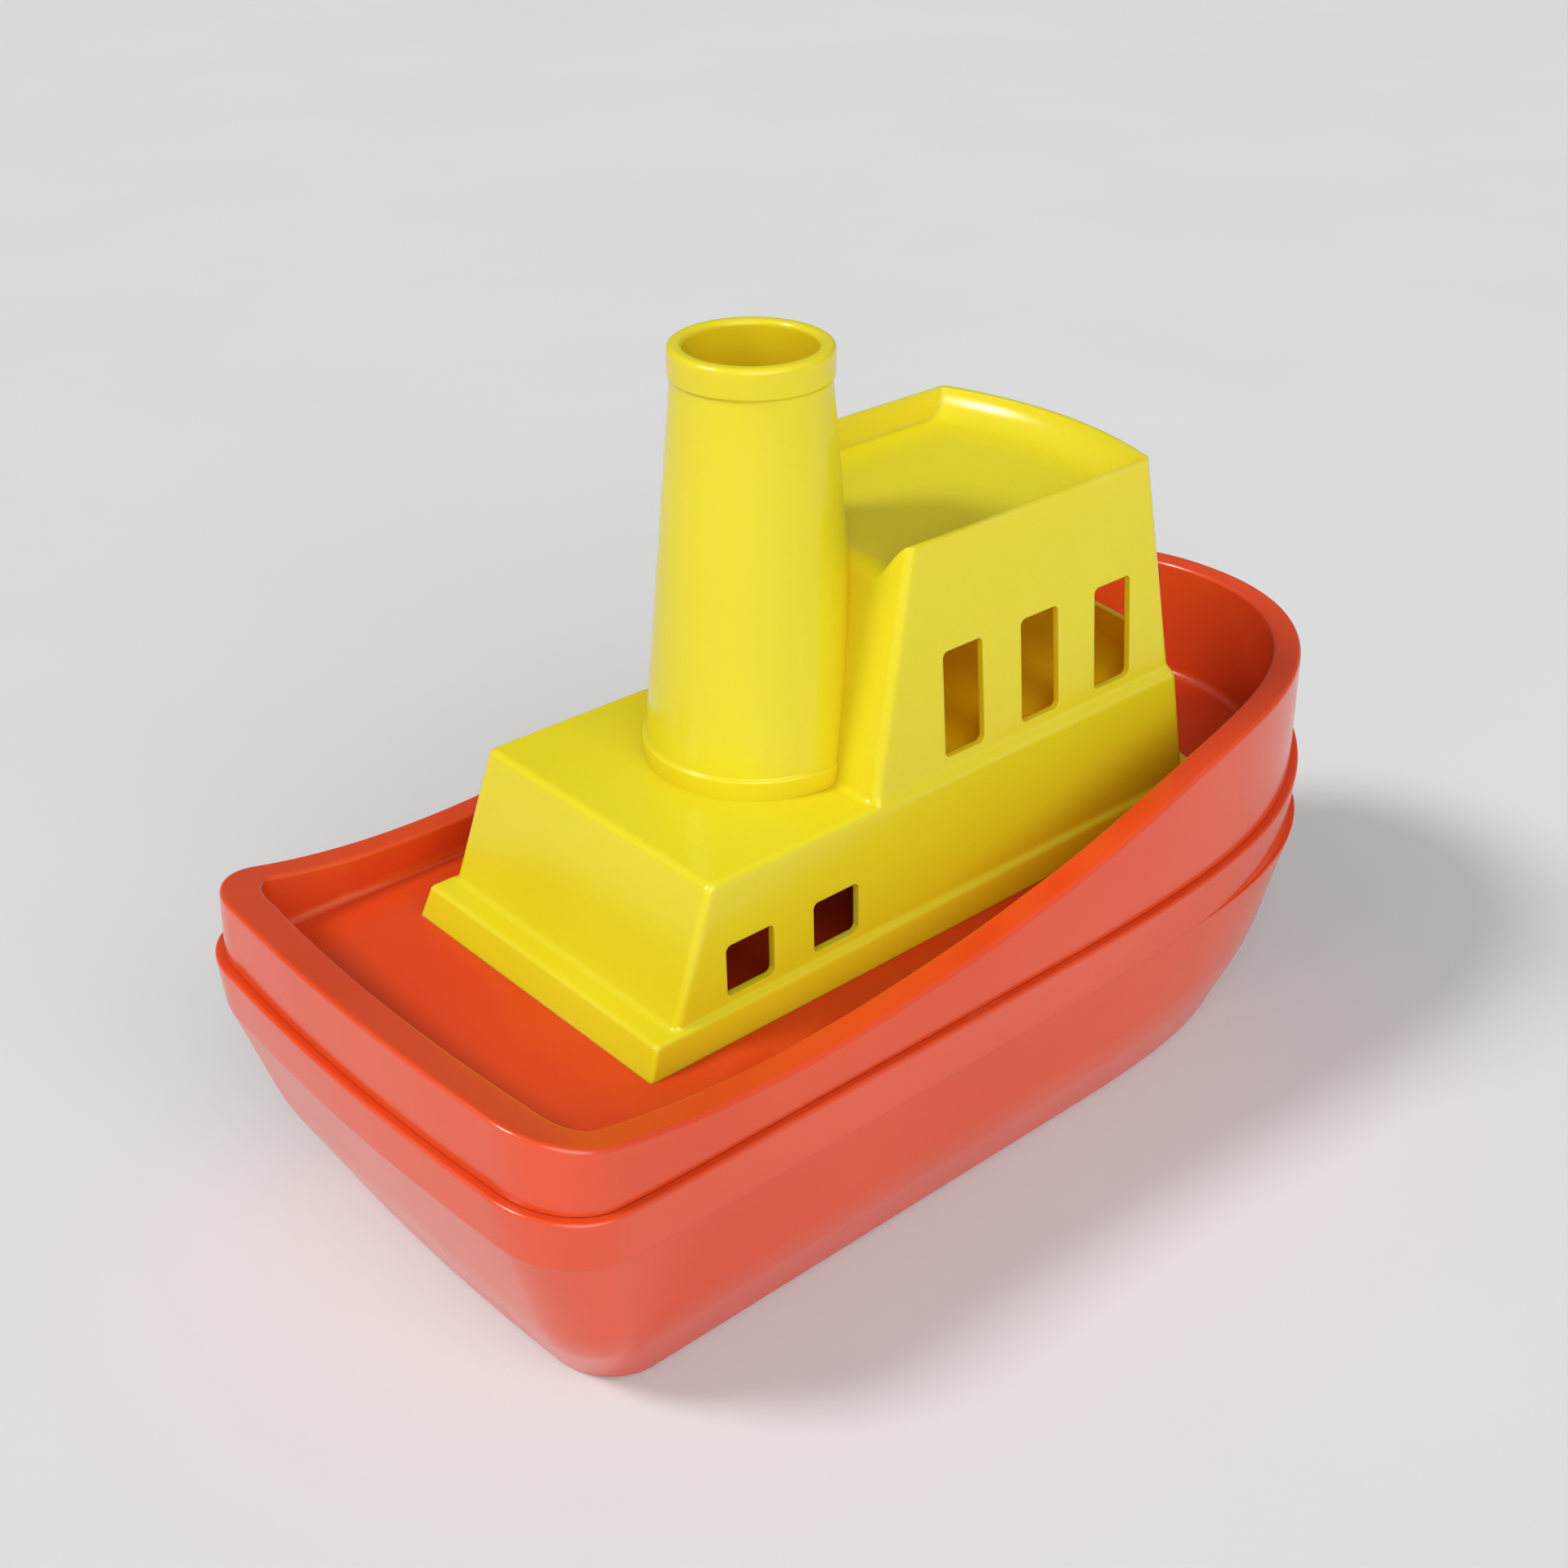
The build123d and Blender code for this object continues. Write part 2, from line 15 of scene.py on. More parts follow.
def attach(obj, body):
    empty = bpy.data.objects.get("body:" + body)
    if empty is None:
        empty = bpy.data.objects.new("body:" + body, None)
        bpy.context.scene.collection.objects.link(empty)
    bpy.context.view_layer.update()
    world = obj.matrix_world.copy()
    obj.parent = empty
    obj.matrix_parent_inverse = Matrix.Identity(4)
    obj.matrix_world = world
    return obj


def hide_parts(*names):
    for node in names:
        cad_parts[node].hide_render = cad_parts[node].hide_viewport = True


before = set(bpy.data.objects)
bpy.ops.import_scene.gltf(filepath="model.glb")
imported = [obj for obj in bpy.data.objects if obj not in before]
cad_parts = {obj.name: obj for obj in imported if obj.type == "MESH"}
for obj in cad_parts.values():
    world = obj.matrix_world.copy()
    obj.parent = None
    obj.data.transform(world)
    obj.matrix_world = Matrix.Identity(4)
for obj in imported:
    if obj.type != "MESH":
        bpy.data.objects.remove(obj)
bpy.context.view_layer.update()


def mirrored(places):
    """Each place followed by its mirror image across y = 0."""
    return [(x, side * y) for x, y in places for side in (1, -1)]


# ---------------------------------------------------------------- dimensions
ORIGIN_X = 86.73            # station of the frame's origin
DECK = 57.4                 # deck above the hull bottom
CHINE_Z = 18.1
GAP = 0.05                  # clearance between mating parts
BAND_H, LEDGE_W = 11.9, 2.0     # band below the joint: height, and how far it stands out
LIP_H, LIP_T = 5.0, 1.2         # lip inside the joint
WALL_HULL, WALL_DECK, DECK_T = 2.4, 1.8, 2.5

# Plan outlines: stern, transom crown, half beam, corner length, corner width,
# start of bow, bow, and the bow's two exponents.
RIM = (-42.84, 4.14, 62.64, 15.0, 19.2, 76.4, 217.1, 3.34, 2.17)
FOOT = (-43.04, 4.14, 63.94, 15.0, 19.2, 76.4, 216.5, 3.34, 2.17)
HULL_TOP = (-43.20, 2.80, 63.60, 14.1, 16.8, 108.0, 208.5, 2.85, 3.40)
CHINE = (-33.73, 1.01, 59.64, 12.8, 13.9, 109.8, 199.5, 2.23, 4.22)
BOTTOM = (-25.60, 2.44, 51.95, 13.3, 15.3, 105.1, 186.4, 3.11, 4.33)
WELL = (-33.79, 4.14, 56.11, 6.0, 11.4, 76.4, 211.2, 3.34, 2.17)
# Steps along each stretch of half an outline.
STERN_STEPS, CORNER_STEPS, SIDE_STEPS, BOW_STEPS = 14, 20, 34, 60

# Station, bulwark rim and hull joint, both heights above the deck.
SHEER = (
    (-46.0, 18.2, 1.3), (-43.0, 17.4, 1.0), (-25.0, 12.6, -0.4), (5.0, 8.4, -0.7),
    (50.0, 9.7, -0.7), (100.0, 17.6, -0.6), (145.0, 27.5, -0.6), (185.0, 29.3, 0.4),
    (218.0, 29.9, 6.0), (222.0, 30.0, 7.0),
)

PEGS = mirrored(((14.5, 32.5), (150.0, 32.5)))
SCREWS = mirrored(((-6.0, 38.0), (82.0, 41.0), (160.0, 30.0)))
SEAT_Z, POST_Z = 33.0, 37.0     # screw head seat and top of the hull's screw posts
SHANK_R, PEG_R, PEG_L = 1.5, 3.0, 9.0

# Funnel: a foot plate, a ring, a cone and a collar; heights above the deck.
FUNNEL_X = 61.29
FOOT_R, FOOT_Z0, FOOT_Z1 = 33.0, 25.3, 27.8
RING_R, RING_Z = 23.63, 40.03
CONE_R0, CONE_R1, CONE_Z1 = 22.99, 15.91, 117.64
COLLAR_R, FUNNEL_TOP, BORE_R = 16.45, 123.97, 13.8
WALL_FUNNEL = 2.2
BOSS_PITCH_R = 29.0
BOSSES = [(FUNNEL_X + BOSS_PITCH_R * math.cos(math.radians(a)),
           BOSS_PITCH_R * math.sin(math.radians(a))) for a in (120.0, 180.0, 240.0)]


# ------------------------------------------------------------ height curves
def natural_spline(xs, ys):
    """Natural cubic spline through the points, held constant beyond its ends."""
    xs, ys = np.array(xs), np.array(ys)
    n = len(xs)
    h = np.diff(xs)
    matrix = np.zeros((n, n))
    rhs = np.zeros(n)
    matrix[0, 0] = matrix[-1, -1] = 1.0
    for i in range(1, n - 1):
        matrix[i, i - 1:i + 2] = h[i - 1], 2 * (h[i - 1] + h[i]), h[i]
        rhs[i] = 6 * ((ys[i + 1] - ys[i]) / h[i] - (ys[i] - ys[i - 1]) / h[i - 1])
    bend = np.linalg.solve(matrix, rhs)

    def value(x):
        x = np.clip(np.asarray(x, float), xs[0], xs[-1])
        i = np.clip(np.searchsorted(xs, x, side="right") - 1, 0, n - 2)
        t = x - xs[i]
        slope = (ys[i + 1] - ys[i]) / h[i] - h[i] * (2 * bend[i] + bend[i + 1]) / 6
        return ys[i] + t * slope + t ** 2 * bend[i] / 2 + t ** 3 * (bend[i + 1] - bend[i]) / (6 * h[i])
    return value


def shifted(curve, rise):
    return lambda x: curve(x) + rise


stations, rim_heights, joint_heights = zip(*SHEER)
rim = shifted(natural_spline(stations, rim_heights), DECK)
joint = shifted(natural_spline(stations, joint_heights), DECK)


# --------------------------------------------------------------------- loops
def outline(plan, inset=0.0):
    """Closed plan loop, anticlockwise from the stern centre, as (N, 2)."""
    stern, crown, half_beam, corner_l, corner_w, bow_start, bow, exp_x, exp_y = plan
    stern, half_beam, bow = stern + inset, half_beam - inset, bow - inset
    corner_l, corner_w = max(corner_l - inset, 1.5), max(corner_w - inset, 1.5)
    flat_y = half_beam - corner_w

    y = flat_y * np.arange(STERN_STEPS) / STERN_STEPS
    transom = np.stack([stern + crown * (y / half_beam) ** 2, y], 1)

    corner_x = stern + crown * (flat_y / half_beam) ** 2
    t = math.pi / 2 * np.arange(CORNER_STEPS) / CORNER_STEPS
    quarter = np.stack([corner_x + corner_l * (1 - np.cos(t)), flat_y + corner_w * np.sin(t)], 1)

    side_x = corner_x + corner_l
    s = np.arange(SIDE_STEPS) / SIDE_STEPS
    side = np.stack([side_x + (bow_start - side_x) * s, np.full(SIDE_STEPS, half_beam)], 1)

    # the power packs points towards the tip of the bow
    s = np.arange(BOW_STEPS + 1) / BOW_STEPS
    t = math.pi / 2 * (1 - (1 - s) ** 1.6)
    c = np.clip(np.cos(t), 0, 1)
    c[-1] = 0.0
    nose = np.stack([bow_start + (bow - bow_start) * np.sin(t) ** (2 / exp_x),
                     half_beam * c ** (2 / exp_y)], 1)

    half = np.concatenate([transom, quarter, side, nose])
    return np.concatenate([half * (1, -1), half[-2:0:-1]])


def at(plan, z, inset=0.0):
    """Loop of a plan outline at a height: a number or a function of station."""
    loop = outline(plan, inset)
    heights = z(loop[:, 0]) if callable(z) else np.full(len(loop), z)
    return np.column_stack([loop, heights])


def leaning(inset, curve):
    """Loop at the height curve on the bulwark's wall, which leans from FOOT to RIM."""
    low, high = at(FOOT, joint, inset), at(RIM, rim, inset)
    t = (curve(low[:, 0]) - low[:, 2]) / (high[:, 2] - low[:, 2])
    loop = low + (high - low) * t[:, None]
    loop[:, 2] = curve(loop[:, 0])
    return loop


def shrunk(loop, centre_x):
    """The loop drawn in a little towards a point on the centreline."""
    loop = loop.copy()
    loop[:, :2] = (loop[:, :2] - (centre_x, 0.0)) * 0.93 + (centre_x, 0.0)
    return loop


def corner(before, here, after, distance, steps):
    """Loops that round the corner at here, starting and ending a distance from it."""
    def towards(other):
        arm = other - here
        length = np.linalg.norm(arm, axis=1)[:, None]
        return here + arm * np.minimum(distance / np.maximum(length, 1e-9), 0.48)

    start, end = towards(before), towards(after)
    weight = 0.7071  # makes the rational quadratic a true arc for a square corner
    loops = []
    for i in range(steps + 1):
        t = i / steps
        a, b, c = (1 - t) ** 2, 2 * weight * t * (1 - t), t ** 2
        loops.append((a * start + b * here + c * end) / (a + b + c))
    return loops


def rounded(profile, closed=False):
    """Loops of a profile of (loop, rounding distance), with its corners rounded."""
    last = len(profile) - 1
    out = []
    for i, (loop, distance) in enumerate(profile):
        if distance and (closed or 0 < i < last):
            after = profile[(i + 1) % len(profile)][0]
            steps = 6 if distance > 0.35 else 3
            out += corner(profile[i - 1][0], loop, after, distance, steps)
        else:
            out.append(loop)
    return out


def split_long(loops, length):
    """Extra loops in long flats, so that they shade and bend smoothly."""
    out = [loops[0]]
    for a, b in zip(loops, loops[1:]):
        k = max(1, int(np.linalg.norm(b - a, axis=1).mean() / length))
        out += [a + (b - a) * (i / k) for i in range(1, k + 1)]
    return out


# -------------------------------------------------------------------- meshes
def add_object(name, data):
    ob = bpy.data.objects.new(name, data)
    bpy.context.scene.collection.objects.link(ob)
    return ob


def mesh(name, verts, faces, smooth=True):
    """Object from points in stations and heights above the hull bottom."""
    verts = np.array(verts, float)
    verts[:, 0] -= ORIGIN_X
    verts *= 0.001
    me = bpy.data.meshes.new(name)
    me.from_pydata(verts.tolist(), [], [list(map(int, f)) for f in faces])
    me.validate()
    me.update()
    ob = add_object(name, me)
    if smooth:
        me.shade_smooth()
    return ob


def band_faces(a, b, n):
    """Quads between two rings of n points that start at vertices a and b."""
    return [(a + i, a + (i + 1) % n, b + (i + 1) % n, b + i) for i in range(n)]


def skin(name, loops):
    """Closed skin through loops that mirror about y = 0, capped across the beam at both ends."""
    n = len(loops[0])
    faces = []
    for k in range(len(loops) - 1):
        faces += band_faces(k * n, (k + 1) * n, n)
    for base, flip in ((0, True), ((len(loops) - 1) * n, False)):
        for i in range(n // 2):
            quad = [base + i, base + i + 1, base + (n - i - 1) % n, base + (n - i) % n]
            quad = list(dict.fromkeys(quad))  # a triangle at stern and bow
            faces.append(quad[::-1] if flip else quad)
    return mesh(name, np.concatenate(loops), faces)


def ring(x, y, z, radius, segments):
    turns = [2 * math.pi * i / segments for i in range(segments)]
    return [(x + radius * math.cos(t), y + radius * math.sin(t), z) for t in turns]


def columns(places, bottom, top, radius, top_radius=None):
    """Upright columns at places: (x, y, bottom, top, bottom radius, top radius)."""
    return [(x, y, bottom, top, radius, top_radius or radius) for x, y in places]


def cylinders(name, items, segments=64):
    """One mesh of separate closed columns."""
    verts, faces = [], []
    for x, y, bottom, top, radius, top_radius in items:
        low = len(verts)
        high = low + segments
        verts += ring(x, y, bottom, radius, segments) + ring(x, y, top, top_radius, segments)
        faces += band_faces(low, high, segments)
        faces.append(tuple(range(low, high))[::-1])
        faces.append(tuple(range(high, high + segments)))
    return mesh(name, verts, faces, smooth=False)


def lathe(name, profile, centre_x, segments=192):
    """Closed turned solid from a profile of (radius, height, rounding distance)."""
    points = [(np.array([[radius, 0.0, z]]), distance) for radius, z, distance in profile]
    points = split_long(rounded(points, closed=True), 4.0)
    verts, faces = [], []
    for k, point in enumerate(points):
        radius, _, z = point[0]
        verts += ring(centre_x, 0.0, z, radius, segments)
        faces += band_faces(k * segments, (k + 1) % len(points) * segments, segments)
    return mesh(name, verts, faces)


def boolean(ob, operation, other):
    """Applies a boolean with the other object and removes that object."""
    modifier = ob.modifiers.new(operation, "BOOLEAN")
    modifier.operation = operation
    modifier.object = other
    modifier.solver = "EXACT"
    graph = bpy.context.evaluated_depsgraph_get()
    me = bpy.data.meshes.new_from_object(ob.evaluated_get(graph))
    ob.modifiers.clear()
    old = ob.data
    ob.data = me
    bpy.data.meshes.remove(old)
    bpy.data.objects.remove(other)


def finish_shading(ob):
    """Smooth shading that stays sharp at edges of 42 degrees and more."""
    ob.data.shade_smooth()
    bm = bmesh.new()
    bm.from_mesh(ob.data)
    for edge in bm.edges:
        if len(edge.link_faces) == 2:
            edge.smooth = edge.calc_face_angle(0.0) < math.radians(42.0)
    bm.to_mesh(ob.data)
    bm.free()
    modifier = ob.modifiers.new("shade", "WEIGHTED_NORMAL")
    modifier.keep_sharp = True
    modifier.weight = 60


def dress(ob, material):
    ob.data.materials.clear()
    ob.data.materials.append(material)


def install(ob, material, rides, replaces):
    """Dresses a piece, ties it to a part of the frame and stands it in for a CAD piece."""
    dress(ob, material)
    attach(ob, rides)
    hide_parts(replaces)


# -------------------------------------------------------------- shader nodes
def set_inputs(tree, node, inputs):
    """Sets inputs by name or index, each to a plain value or linked from a socket."""
    for key, value in inputs.items():
        socket = node.inputs[key]
        if isinstance(value, bpy.types.NodeSocket):
            tree.links.new(value, socket)
        else:
            socket.default_value = (*value, 1.0) if socket.type == "RGBA" else value


def new_node(tree, kind, inputs={}, **settings):
    node = tree.nodes.new("ShaderNode" + kind)
    for key, value in settings.items():
        setattr(node, key, value)
    set_inputs(tree, node, inputs)
    return node


def new_material(name, viewport=(0.8, 0.8, 0.8)):
    """Material, its node tree, its Principled node and its object coordinates."""
    material = bpy.data.materials.new(name)
    material.use_nodes = True
    material.diffuse_color = (*viewport, 1.0)
    tree = material.node_tree
    tree.nodes.clear()
    output = new_node(tree, "OutputMaterial")
    surface = new_node(tree, "BsdfPrincipled")
    tree.links.new(surface.outputs["BSDF"], output.inputs["Surface"])
    return material, tree, surface, new_node(tree, "TexCoord").outputs["Object"]


def noise(tree, coord, scale, detail=3.0, roughness=0.55):
    return new_node(tree, "TexNoise", {"Scale": scale, "Detail": detail, "Roughness": roughness,
                                       "Vector": coord}).outputs["Fac"]


def stretched(tree, coord, scale, rotation=(0.0, 0.0, 0.0)):
    return new_node(tree, "Mapping", {"Scale": scale, "Rotation": rotation,
                                      "Vector": coord}).outputs[0]


def ramp(tree, factor, stops):
    """Colour ramp through stops of (position, colour or grey level)."""
    node = new_node(tree, "ValToRGB", {"Fac": factor})
    elements = node.color_ramp.elements
    for _ in stops[2:]:
        elements.new(1.0)
    for element, (position, colour) in zip(elements, stops):
        element.position = position
        element.color = (*colour, 1.0) if isinstance(colour, tuple) else (colour,) * 3 + (1.0,)
    return node.outputs["Color"]


def mask(tree, factor, black, white):
    """Ramp from black at one position to white at the other."""
    return ramp(tree, factor, [(black, 0.0), (white, 1.0)])


def maths(tree, operation, *operands):
    return new_node(tree, "Math", dict(enumerate(operands)), operation=operation).outputs[0]


def scaled(tree, value, amount):
    return maths(tree, "MULTIPLY", value, amount)


def plus(tree, value, extra, amount):
    """value + extra * amount"""
    return maths(tree, "ADD", value, scaled(tree, extra, amount))


def mix(tree, factor, a, b):
    """Colour going from a to b as the factor rises."""
    return new_node(tree, "Mix", {0: factor, 6: a, 7: b}, data_type="RGBA").outputs[2]


def bumps(tree, layers, normal=None):
    """Chained bump nodes: (height, distance in metres, strength)."""
    for height, distance, strength in layers:
        inputs = {"Distance": distance, "Strength": strength, "Height": height}
        if normal is not None:
            inputs["Normal"] = normal
        normal = new_node(tree, "Bump", inputs).outputs["Normal"]
    return normal


# ----------------------------------------------------------------- materials
def plastic_colour(tree, coord, wear, open_sky, hollow, tints, spill):
    """Base colour of a moulded plastic, with painted shade in hollows and painted light and shade on
    the cabin's inner walls.
    """
    base, light, dark, painted_shade_tint, inside = tints
    # slow drift of pigment, and faint flow streaks along the moulding
    drift = noise(tree, coord, scale=14.0, detail=2.0)
    colour = ramp(tree, drift, [(0.30, dark), (0.52, base), (0.74, light)])
    along_hull = stretched(tree, coord, scale=(9.0, 60.0, 60.0))
    streak = mask(tree, noise(tree, along_hull, scale=1.0, detail=4.0, roughness=0.6),
                  black=0.40, white=0.75)
    colour = mix(tree, scaled(tree, streak, amount=0.05), colour, light)
    # worn edges are a little paler
    worn = tuple(min(1.0, 0.55 + 0.5 * c) for c in light)
    colour = mix(tree, scaled(tree, wear, amount=0.10), colour, worn)
    # painted shade: where the AO finds hollows the colour turns to the darker, warmer shade tint
    colour = mix(tree, open_sky, painted_shade_tint, colour)
    # painted light and shade inside the cabin: its inner walls take the inside tint, a brighter orange
    # on the yellow plastic
    colour = mix(tree, hollow, colour, inside)
    # light that has bounced off it is less saturated than the plastic itself
    bounced = new_node(tree, "LightPath").outputs["Is Diffuse Ray"]
    spilt = (0.50, 0.40, 0.38)
    return mix(tree, scaled(tree, bounced, amount=spill), colour, spilt)


def plastic_roughness(tree, coord, wear, scuff, rough):
    """Broad satin patches, fine orange peel, scuffs and duller worn edges."""
    satin = noise(tree, coord, scale=38.0)
    peel = noise(tree, coord, scale=420.0, detail=2.0)
    # satin adds 0 to 0.10, from 0.05 below the given roughness
    value = maths(tree, "MULTIPLY_ADD", satin, 0.10, rough - 0.05)
    value = plus(tree, value, maths(tree, "SUBTRACT", peel, 0.5), amount=0.03)
    value = plus(tree, value, scuff, amount=0.06)
    return plus(tree, value, wear, amount=0.12)


def plastic_specular(tree, geometry, open_sky, hollow, sheen):
    """Painted shade on the reflections: sheen that fades where the AO finds hollows, on the cabin's
    inner walls and on flats that face up.
    """
    # 0.15 lifts half-shaded places, 1.1 takes the hollow to the floor value of 0.04
    lit = maths(tree, "ADD", open_sky, 0.15)
    outside = maths(tree, "SUBTRACT", lit, scaled(tree, hollow, 1.1))
    gloss = scaled(tree, maths(tree, "MAXIMUM", outside, 0.04), amount=sheen)
    # painted shade: flats that face up reflect less
    up = new_node(tree, "SeparateXYZ", {0: geometry.outputs["Normal"]}).outputs["Z"]
    return maths(tree, "MULTIPLY", gloss, ramp(tree, up, [(0.86, 1.0), (0.985, 0.35)]))


def plastic_normal(tree, coord, scuff):
    """Fine grain, broad ripple and scuffs over edges softened to catch a line of light."""
    soft_edge = new_node(tree, "Bevel", {"Radius": 0.0005}, samples=4).outputs["Normal"]
    grain = noise(tree, coord, scale=700.0, detail=2.0)
    ripple = noise(tree, coord, scale=60.0, detail=2.0)
    layers = [(grain, 0.00002, 0.05), (ripple, 0.0002, 0.05), (scuff, 0.00001, 0.08)]
    return bumps(tree, layers, soft_edge)


def moulded_plastic(name, base, light, dark, painted_shade_tint, inside, sheen, spill, rough, sss, radius):
    """Plastic with pigment drift, worn edges, and painted shade in hollows: darker, warmer and less
    glossy.

    The shade tint is painted where the AO finds shade, the inside tint is painted light and shade on
    the hollow attribute; spill greys bounced light; sss and radius are the subsurface weight and
    radius."""
    material, tree, surface, coord = new_material(name, viewport=base)
    geometry = new_node(tree, "NewGeometry")
    edge = mask(tree, geometry.outputs["Pointiness"], black=0.515, white=0.60)
    patch = mask(tree, noise(tree, coord, scale=55.0, detail=4.0, roughness=0.65),
                 black=0.46, white=0.66)
    wear = maths(tree, "MULTIPLY", edge, patch)
    occlusion = new_node(tree, "AmbientOcclusion", {"Distance": 0.035}, samples=4)
    open_sky = mask(tree, occlusion.outputs["AO"], black=0.05, white=0.55)
    hollow = new_node(tree, "Attribute", attribute_name="hollow").outputs["Fac"]
    hairlines = stretched(tree, coord, scale=(25.0, 900.0, 120.0), rotation=(0.3, 0.5, 0.7))
    scuff = mask(tree, noise(tree, hairlines, scale=1.0, detail=2.0, roughness=0.5),
                 black=0.70, white=0.74)
    scuff = maths(tree, "MULTIPLY", scuff, patch)
    tints = (base, light, dark, painted_shade_tint, inside)
    set_inputs(tree, surface, {
        "Base Color": plastic_colour(tree, coord, wear, open_sky, hollow, tints, spill),
        "Roughness": plastic_roughness(tree, coord, wear, scuff, rough),
        "Normal": plastic_normal(tree, coord, scuff),
        "IOR": 1.50,
        "Specular IOR Level": plastic_specular(tree, geometry, open_sky, hollow, sheen),
        "Subsurface Weight": sss,
        "Subsurface Radius": radius,
        "Subsurface Scale": 1.0,
    })
    return material


def soft_rubber(name, base, light):
    """Matt rubber with a fine grain."""
    material, tree, surface, coord = new_material(name, viewport=base)
    tint = noise(tree, coord, scale=180.0, detail=4.0)
    polish = noise(tree, coord, scale=300.0)
    grain = noise(tree, coord, scale=1500.0)
    set_inputs(tree, surface, {
        "Base Color": ramp(tree, tint, [(0.35, base), (0.75, light)]),
        "Roughness": ramp(tree, polish, [(0.3, 0.52), (0.7, 0.72)]),
        "Normal": bumps(tree, [(grain, 0.00004, 0.5)]),
    })
    return material


def zinc_steel(name):
    """Mottled, finely brushed metal."""
    material, tree, surface, coord = new_material(name, viewport=(0.6, 0.6, 0.62))
    mottle = noise(tree, coord, scale=260.0, detail=4.0)
    brushed = noise(tree, stretched(tree, coord, scale=(300.0, 300.0, 5000.0)), scale=1.0)
    set_inputs(tree, surface, {
        "Base Color": ramp(tree, mottle, [(0.3, (0.50, 0.51, 0.53)), (0.7, (0.72, 0.72, 0.73))]),
        "Metallic": 1.0,
        "Roughness": ramp(tree, brushed, [(0.3, 0.25), (0.7, 0.42)]),
        "Normal": bumps(tree, [(brushed, 0.00002, 0.4)]),
    })
    return material


def floor_paper(name):
    """Pale, nearly even paper."""
    material, tree, surface, coord = new_material(name)
    tint = noise(tree, coord, scale=6.0)
    set_inputs(tree, surface, {
        "Base Color": ramp(tree, tint, [(0.3, (0.735, 0.735, 0.737)),
                                        (0.7, (0.755, 0.755, 0.757))]),
        "Roughness": 0.7,
        "Specular IOR Level": 0.2,
    })
    return material


# The shade tint is painted shade in hollows, the inside tint painted light and shade on the cabin's
# inner walls.
RED = moulded_plastic(
    "red_moulded_plastic", base=(0.735, 0.066, 0.012), light=(0.760, 0.076, 0.015),
    dark=(0.705, 0.058, 0.009), painted_shade_tint=(0.690, 0.030, 0.003), inside=(0.690, 0.030, 0.003),
    sheen=0.70, spill=0.45, rough=0.19, sss=0.10, radius=(0.004, 0.0009, 0.0003))
YELLOW = moulded_plastic(
    "yellow_moulded_plastic", base=(0.775, 0.655, 0.016), light=(0.795, 0.680, 0.020),
    dark=(0.750, 0.630, 0.012), painted_shade_tint=(0.780, 0.470, 0.004), inside=(0.940, 0.600, 0.004),
    sheen=0.42, spill=0.0, rough=0.21, sss=0.20, radius=(0.006, 0.0030, 0.0004))
SEAL = soft_rubber("seal_rubber", base=(0.030, 0.030, 0.032), light=(0.065, 0.065, 0.068))
PLUG = soft_rubber("plug_rubber", base=(0.42, 0.045, 0.012), light=(0.52, 0.065, 0.018))
STEEL = zinc_steel("screw_steel")


# --------------------------------------------------------------- hull, lower
def build_hull():
    band_low = shifted(joint, -BAND_H)
    inner_low = shifted(band_low, WALL_HULL)
    groove_floor = shifted(joint, -1.0)
    groove_out, groove_in = 0.3, 1.5
    lip_top, lip_root = shifted(joint, LIP_H), shifted(joint, -2.6)
    lip_out = WALL_DECK + GAP
    lip_in = lip_out + LIP_T
    band_out = -LEDGE_W + 0.9       # inset of the band's lower edge
    band_in = band_out + WALL_HULL
    bottom, bottom_in = at(BOTTOM, 0.0), at(BOTTOM, 2.6, WALL_HULL + 1.2)
    # from the middle of the bottom up the outside, over the lip and down the inside
    profile = [
        (shrunk(bottom, 80.0), 0),
        (bottom, 1.3),
        (at(CHINE, CHINE_Z), 5.0),
        (at(HULL_TOP, band_low), 0.5),
        (at(FOOT, band_low, band_out), 0.7),
        (at(FOOT, joint, -LEDGE_W), 0.9),
        (at(FOOT, joint, groove_out), 0.12),
        (at(FOOT, groove_floor, groove_out), 0.12),
        (at(FOOT, groove_floor, groove_in), 0.12),
        (at(FOOT, joint, groove_in), 0.12),
        (leaning(lip_out, joint), 0.15),
        (leaning(lip_out, lip_top), 0.4),
        (leaning(lip_in, lip_top), 0.4),
        (leaning(lip_in, lip_root), 0.5),
        (at(FOOT, lip_root, band_in), 0.5),
        (at(FOOT, inner_low, band_in), 0.8),
        (at(HULL_TOP, inner_low, WALL_HULL), 0.8),
        (at(CHINE, CHINE_Z + 0.6, WALL_HULL), 2.0),
        (bottom_in, 2.0),
        (shrunk(bottom_in, 80.0), 0),
    ]
    hull = skin("hull_lower_moulding", split_long(rounded(profile), 9.0))
    posts = columns(SCREWS, 1.4, POST_Z, 5.0, top_radius=4.9)
    boolean(hull, "UNION", cylinders("posts", posts))
    wells = columns(SCREWS, -1.0, SEAT_Z, 3.6)
    boolean(hull, "DIFFERENCE", cylinders("wells", wells))
    bores = columns(SCREWS, SEAT_Z - 1.0, POST_Z + 1.0, 1.75)
    boolean(hull, "DIFFERENCE", cylinders("bores", bores, segments=32))
    finish_shading(hull)
    install(hull, RED, rides="hull", replaces="hull_shell")


